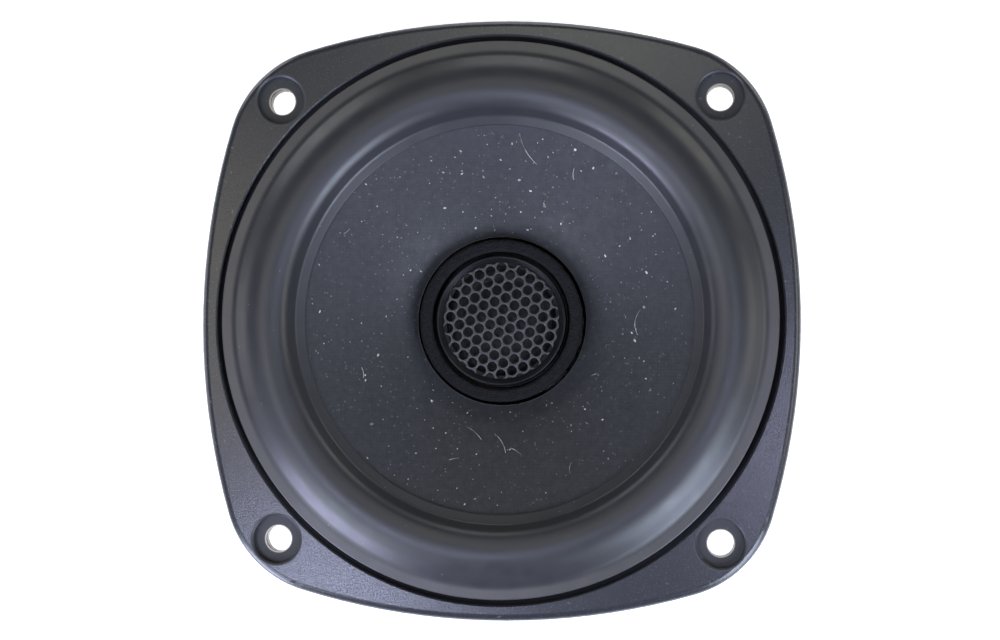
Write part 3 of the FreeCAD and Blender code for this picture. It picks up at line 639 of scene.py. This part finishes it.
def outwards(mesh):
    """Joins doubled points and turns every face outwards."""
    bm = bmesh.new()
    bm.from_mesh(mesh)
    bmesh.ops.remove_doubles(bm, verts=bm.verts, dist=1e-7)
    bmesh.ops.recalc_face_normals(bm, faces=bm.faces)
    bm.to_mesh(mesh)
    bm.free()


def radial_blend(piece, body, still_r, moving_r):
    """Bends a piece between the frame and a body by radius: still outside, moving inside."""
    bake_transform(piece, FRAME, body, start=(still_r * MM, 0, 0), end=(moving_r * MM, 0, 0))
    mesh = piece.data
    co = np.empty(len(mesh.vertices) * 3, np.float32)
    mesh.vertices.foreach_get("co", co)
    r = np.hypot(*co.reshape(-1, 3)[:, :2].T) / MM
    t = np.clip((still_r - r) / (still_r - moving_r), 0, 1)
    mesh.attributes["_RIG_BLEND"].data.foreach_set("value", (t * t * (3 - 2 * t)).astype(np.float32))


# ---- the surround, cone, spider and foam ---------------------------------------------------------

def make_surround():
    front = [(r, LIP_Z + z, rounding) for r, z, rounding in ROLL]
    back = beneath([front[0][:2] + (0,)] + front[1:-1] + [front[-1][:2] + (0,)], SURROUND_T)
    lip_in = LIP_R - LIP_W
    back[0] = (lip_in, back[0][1], 0)
    back[1] = back[1][:2] + (0,)
    outline = [(LIP_R, SEAT_Z, 0.3)] + front + back[::-1] + [(lip_in, SEAT_Z, 0.2)]
    mesh = turned_mesh("surround_roll", along(outline, closed=True), segments=320)
    piece = finished("surround_roll", mesh, "surround_rubber")
    radial_blend(piece, CONE, *SURROUND_BLEND)
    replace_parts(piece, "surround")


def cone_line():
    """Corners of the cone's front surface, from its edge in to the former."""
    edge_z = LIP_Z + ROLL[-1][1] - (SURROUND_T + GLUE) / math.cos(CONE_SLOPE)
    outer_z = edge_z + (CONE_EDGE_R - ROLL[-1][0]) * math.tan(CONE_SLOPE)
    return [(CONE_EDGE_R, outer_z, 0), CONE_BEND, (FORMER_R, CONE_NECK_Z, 0)]


def cone_height(r):
    """Height of the cone's front surface at a radius, both in millimetres."""
    points = along(cone_line(), step_deg=1.0)
    for a, b in zip(points, points[1:]):
        if b.x <= r <= a.x:
            return a.y + (b.y - a.y) * (r - a.x) / (b.x - a.x)
    raise ValueError("no cone at radius %s" % r)


def make_cone():
    front = cone_line()
    points = along(front, step_deg=1.0) + along(beneath(front, CONE_T)[::-1], step_deg=1.0)
    piece = finished("cone_body", turned_mesh("cone_body", points), "cone_fibre", CONE)
    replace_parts(piece, "cone")


def make_spider():
    inner = FORMER_R + GLUE
    first = inner + SPIDER_COLLAR
    corners = [(inner, SPIDER_Z, 0), (first, SPIDER_Z, 0.5)]
    for wave in range(SPIDER_WAVES):
        height = SPIDER_WAVE if wave % 2 == 0 else -SPIDER_WAVE
        corners.append((first + SPIDER_PITCH * (wave + 0.5), SPIDER_Z + height, 0.75))
    corners.append((first + SPIDER_PITCH * SPIDER_WAVES, SPIDER_Z, 0.5))
    corners.append((SPIDER_OUT_R, SPIDER_Z, 0))
    front = corners[::-1]
    points = along(front, step_deg=12) + along(beneath(front, SPIDER_T)[::-1], step_deg=12)
    piece = finished("spider_cloth", turned_mesh("spider_cloth", points), "spider_cloth")
    radial_blend(piece, CONE, *SPIDER_BLEND)
    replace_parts(piece, "spider")


def make_foam_ring():
    inner, outer = FOAM_R
    low, high = FOAM_Z

    def ragged(v):
        """Open-cell foam doesn't cut to a clean edge; its glued underside stays flat."""
        out = Vector((v.x, v.y, 0)).normalized()
        coarse = field.noise(v * 0.8) * 0.10
        fine = field.noise(v * 4.0) * 0.09
        up = Vector((0, 0, 1)) * field.noise(v * 2.5 + Vector((9, 9, 9))) * 0.12
        return out * (coarse + fine) + up * (1 if v.z > low + 0.5 else 0)

    outline = [(inner + FOAM_INSET, low, 0), (outer - FOAM_INSET, low, 0),
               (outer - FOAM_INSET, high, 0.75), (inner + FOAM_INSET, high, 0.6)]
    corners = along(outline, closed=True, step_deg=12)
    points = []
    for a, b in zip(corners, corners[1:] + corners[:1]):
        steps = max(1, round((b - a).length / FOAM_STEP))
        points += [a.lerp(b, k / steps) for k in range(steps)]
    mesh = turned_mesh("foam_gasket", points, segments=400, wobble=ragged)
    piece = finished("foam_gasket", mesh, "foam", FRAME, smooth_deg=80)
    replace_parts(piece, "foam_ring")


# ---- the tweeter ---------------------------------------------------------------------------------

def make_grille():
    """Perforated disc, slightly domed, with the punched edges rounded over."""
    curve = bpy.data.curves.new("grille_outline", "CURVE")
    curve.dimensions = "2D"
    curve.fill_mode = "BOTH"
    curve.extrude = GRILLE_T / 2 * MM
    curve.bevel_depth = GRILLE_ROUND * MM
    curve.bevel_resolution = 2
    curve.offset = -GRILLE_ROUND * MM

    def circle(x, y, r, count):
        spline = curve.splines.new("POLY")
        spline.points.add(count - 1)
        spline.use_cyclic_u = True
        for k, point in enumerate(spline.points):
            a = 2 * math.pi * k / count
            point.co = ((x + r * math.cos(a)) * MM, (y + r * math.sin(a)) * MM, 0, 1)

    # a larger sheet than needed, so that the round edge cuts through holes as it does in the part
    circle(0, 0, GRILLE_R + 3.2, 96)
    for i in range(-7, 8):
        for j in range(-7, 8):
            along_row = Vector((GRILLE_PITCH * (i + j / 2), GRILLE_PITCH * j * math.sqrt(3) / 2))
            x, y = Matrix.Rotation(GRILLE_TURN, 2) @ along_row
            if math.hypot(x, y) < GRILLE_R + 1.2:
                circle(x, y, GRILLE_HOLE_R, 28)
    source = new_object("grille_outline", curve)
    sheet = bpy.data.meshes.new_from_object(source)
    bpy.data.objects.remove(source)
    outwards(sheet)
    piece = finished("tweeter_mesh", sheet, "grille_metal")
    edge = [Vector(p) for p in ((0.001, -3), (GRILLE_R, -3), (GRILLE_R, 3), (0.001, 3))]
    cutter = new_object("grille_edge", turned_mesh("grille_edge", edge, segments=96))
    cut = piece.modifiers.new("edge", "BOOLEAN")
    cut.operation = "INTERSECT"
    cut.solver = "EXACT"
    cut.object = cutter
    apply_modifiers(piece)
    bpy.data.objects.remove(cutter)
    keep_largest(piece.data)
    for v in piece.data.vertices:
        r = v.co.xy.length / MM
        v.co.z += (GRILLE_Z - GRILLE_T / 2 + GRILLE_RISE * (1 - (r / GRILLE_R) ** 2)) * MM
    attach(piece, FRAME)
    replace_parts(piece, "tweeter_grille")


def apply_modifiers(piece):
    """Gives the piece the mesh that its modifiers make, without the modifiers."""
    depsgraph = bpy.context.evaluated_depsgraph_get()
    mesh = bpy.data.meshes.new_from_object(piece.evaluated_get(depsgraph))
    piece.modifiers.clear()
    old, piece.data = piece.data, mesh
    bpy.data.meshes.remove(old)


def keep_largest(mesh):
    """Removes the loose slivers that the round edge leaves between holes."""
    bm = bmesh.new()
    bm.from_mesh(mesh)
    bmesh.ops.remove_doubles(bm, verts=bm.verts, dist=1e-7)
    unseen, islands = set(bm.verts), []
    while unseen:
        stack, island = [unseen.pop()], []
        while stack:
            v = stack.pop()
            island.append(v)
            for e in v.link_edges:
                other = e.other_vert(v)
                if other in unseen:
                    unseen.remove(other)
                    stack.append(other)
        islands.append(island)
    largest = max(islands, key=len)
    for island in islands:
        if island is not largest:
            bmesh.ops.delete(bm, geom=island, context="VERTS")
    bm.to_mesh(mesh)
    bm.free()


def make_tweeter_diaphragm():
    """Cloth dome and the small roll round it, in one piece out to the clamped rim."""
    radius = (DOME_R ** 2 + DOME_H ** 2) / (2 * DOME_H)
    centre_z = DOME_BASE_Z + DOME_H - radius
    half = math.asin(DOME_R / radius)
    rim = RIM_CLAMP_Z + DOME_T
    roll = along([(BEZEL_R - 0.2, rim, 0), (12.1, rim, 0.25), (11.0, rim + 1.4, 0.6),
                  (DOME_FOOT_R, DOME_BASE_Z, 0)])
    dome = []
    for k in range(DOME_STEPS, -1, -1):
        a = half * k / DOME_STEPS
        dome.append(Vector((radius * math.sin(a), centre_z + radius * math.cos(a))))
    front = roll + dome
    back = [Vector((p.x, p.y - DOME_T)) for p in front[::-1]]
    mesh = turned_mesh("tweeter_diaphragm_cloth", front + back, segments=128)
    piece = finished("tweeter_diaphragm_cloth", mesh, "dome_cloth")
    radial_blend(piece, DOME, *DOME_BLEND)
    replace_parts(piece, "tweeter_dome", "tweeter_dome_roll")


# ---- leads ---------------------------------------------------------------------------------------

def at_terminal(out, across, z):
    """A place given by the distance towards the terminals, to the side and up, in metres."""
    a = math.radians(TERMINAL_DEG)
    return Vector((out * math.cos(a) - across * math.sin(a),
                   out * math.sin(a) + across * math.cos(a), z)) * MM


def make_tinsel_lead(name, side):
    """Braided lead from the former to a terminal, bending between the cone and the frame."""
    points = [at_terminal(out, side * across, z) for out, across, z in LEAD_LINE]
    curve = bpy.data.curves.new(name, "CURVE")
    curve.dimensions = "3D"
    curve.bevel_depth = LEAD_R * MM
    curve.bevel_resolution = 4
    curve.resolution_u = 16
    curve.use_fill_caps = True
    spline = curve.splines.new("NURBS")
    spline.points.add(len(points) - 1)
    for point, place in zip(spline.points, points):
        point.co = (*place, 1)
    spline.order_u = 3
    spline.use_endpoint_u = True
    source = new_object(name + "_line", curve)
    mesh = bpy.data.meshes.new_from_object(source)
    bpy.data.objects.remove(source)
    outwards(mesh)
    piece = finished(name, mesh, "tinsel_braid")
    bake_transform(piece, CONE, FRAME, start=points[0], end=points[3])
    return piece


# ---- dust ----------------------------------------------------------------------------------------

def slope_at(r):
    """Tilt of the cone's surface at a radius."""
    return math.atan2(cone_height(r + 0.5) - cone_height(r - 0.5), 1.0)


def on_cone(r, a, lift=0.0):
    """A frame on the cone's surface: X along the radius, Z out of the surface."""
    tilt = slope_at(r)
    place = Vector((r * math.cos(a), r * math.sin(a), cone_height(r) + lift)) * MM
    turned = Matrix.Rotation(a, 4, "Z") @ Matrix.Rotation(-tilt, 4, "Y")
    return Matrix.Translation(place) @ turned


def speck(bm, base, length, width, turn, chance):
    """One flat, lumpy grain, half sunk in the surface."""
    shape = bmesh.ops.create_icosphere(bm, subdivisions=2, radius=1.0)["verts"]
    for v in shape:
        lump = 1 + 0.35 * field.noise(v.co * 1.7 + chance)
        high = min(length, width) * 0.45
        v.co = Vector((v.co.x * length * lump, v.co.y * width * lump, v.co.z * high)) * MM
    bmesh.ops.transform(bm, matrix=base @ Matrix.Rotation(turn, 4, "Z"), verts=shape)


def make_dust():
    """Grains that lie on the cone, denser in some patches."""
    rng = random.Random(DUST_SEED)
    bm = bmesh.new()
    placed = 0
    while placed < DUST_COUNT:
        r = math.sqrt(rng.uniform(DUST_R[0] ** 2, DUST_R[1] ** 2))
        a = rng.uniform(0, 2 * math.pi)
        patch = field.noise(Vector((r * math.cos(a) * 0.07, r * math.sin(a) * 0.07, 3.0)))
        if rng.random() > 0.55 + patch:
            continue
        size = min(DUST_LARGEST, rng.lognormvariate(math.log(DUST_SIZE), 0.45))
        chance = Vector((rng.random(), rng.random(), rng.random())) * 50
        length = size * rng.uniform(1.0, 2.2)
        speck(bm, on_cone(r, a), length, size, rng.uniform(0, math.pi), chance)
        placed += 1
    mesh = bpy.data.meshes.new("cone_dust")
    bm.to_mesh(mesh)
    bm.free()
    piece = finished("cone_dust", mesh, DUST, CONE, smooth_deg=80)


def make_fibres():
    """Short bent fibres that lie on the cone, thinner towards their ends."""
    bm = bmesh.new()
    for r, direction, length, heading, bow in FIBRES:
        turned = Matrix.Rotation(math.radians(heading), 4, "Z")
        base = on_cone(r, math.radians(direction), 0.05) @ turned
        rings = []
        for k in range(FIBRE_STEPS + 1):
            t = k / FIBRE_STEPS - 0.5
            thick = FIBRE_R * (1 - 1.6 * t * t) * MM
            centre = Vector((t * length, bow * (0.25 - t * t) * 4, 0.06)) * MM
            ring = []
            for i in range(FIBRE_SIDES):
                q = 2 * math.pi * i / FIBRE_SIDES
                across = Vector((0, math.cos(q), math.sin(q)))
                ring.append(bm.verts.new(base @ (centre + across * thick)))
            rings.append(ring)
        for a, b in zip(rings, rings[1:]):
            for i in range(FIBRE_SIDES):
                j = (i + 1) % FIBRE_SIDES
                bm.faces.new((a[i], a[j], b[j], b[i]))
        bm.faces.new(rings[0][::-1])
        bm.faces.new(rings[-1])
    bmesh.ops.recalc_face_normals(bm, faces=bm.faces)
    mesh = bpy.data.meshes.new("cone_fibres")
    bm.to_mesh(mesh)
    bm.free()
    piece = finished("cone_fibres", mesh, DUST, CONE, smooth_deg=80)


DUST = dust_and_fluff()
make_surround()
make_cone()
make_spider()
make_foam_ring()
make_grille()
make_tweeter_diaphragm()
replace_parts(make_tinsel_lead("tinsel_braid_positive", 1), "tinsel_lead_positive")
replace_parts(make_tinsel_lead("tinsel_braid_negative", -1), "tinsel_lead_negative")
make_dust()
make_fibres()


# ---- floor, light and camera ---------------------------------------------------------------------

def make_floor():
    mesh = bpy.data.meshes.new("floor")
    corners = ((-1, -1), (1, -1), (1, 1), (-1, 1))
    verts = [(x * FLOOR_HALF, y * FLOOR_HALF, FLOOR_Z) for x, y in corners]
    mesh.from_pydata(verts, [], [(0, 1, 2, 3)])
    floor = new_object("floor", mesh)
    mesh.materials.append(pale_floor())


def softbox(name, place, size, power, colour):
    """Square area light that faces the middle of the speaker."""
    light = bpy.data.lights.new(name, "AREA")
    light.shape = "SQUARE"
    light.size = size
    light.energy = power
    light.color = colour
    lamp = new_object(name, light)
    lamp.location = place
    lamp.rotation_euler = (-Vector(place)).to_track_quat("-Z", "Y").to_euler()


def make_camera():
    """Nearly straight down on the front, from a little to the right and below."""
    forward = (CAMERA_AIM - CAMERA_PLACE).normalized()
    upright = Vector((math.sin(CAMERA_ROLL), math.cos(CAMERA_ROLL), 0))
    right = forward.cross(upright).normalized()
    up = right.cross(forward)
    data = bpy.data.cameras.new("camera")
    data.sensor_width = SENSOR_WIDTH
    data.lens = CAMERA_LENS
    data.clip_start = 0.01
    camera = new_object("camera", data)
    facing = Matrix((right, up, -forward)).transposed().to_4x4()
    camera.matrix_world = Matrix.Translation(CAMERA_PLACE) @ facing
    bpy.context.scene.camera = camera


def make_world():
    """A faint white glow all round the horizon, with nothing overhead where the camera is."""
    world = bpy.data.worlds.new("studio")
    world.use_nodes = True
    nodes, links = world.node_tree.nodes, world.node_tree.links
    direction = nodes.new("ShaderNodeSeparateXYZ")
    links.new(nodes.new("ShaderNodeTexCoord").outputs["Generated"], direction.inputs[0])
    fade = nodes.new("ShaderNodeMapRange")
    for socket, value in zip(fade.inputs[1:], (*WORLD_FADE, WORLD_STRENGTH, 0.0)):
        socket.default_value = value
    links.new(direction.outputs[2], fade.inputs[0])
    links.new(fade.outputs[0], nodes["Background"].inputs["Strength"])
    nodes["Background"].inputs["Color"].default_value = (1, 1, 1, 1)
    bpy.context.scene.world = world


make_floor()
make_camera()
make_world()
for softbox_settings in SOFTBOXES:
    softbox(*softbox_settings)
bpy.context.scene.view_settings.view_transform = "Standard"
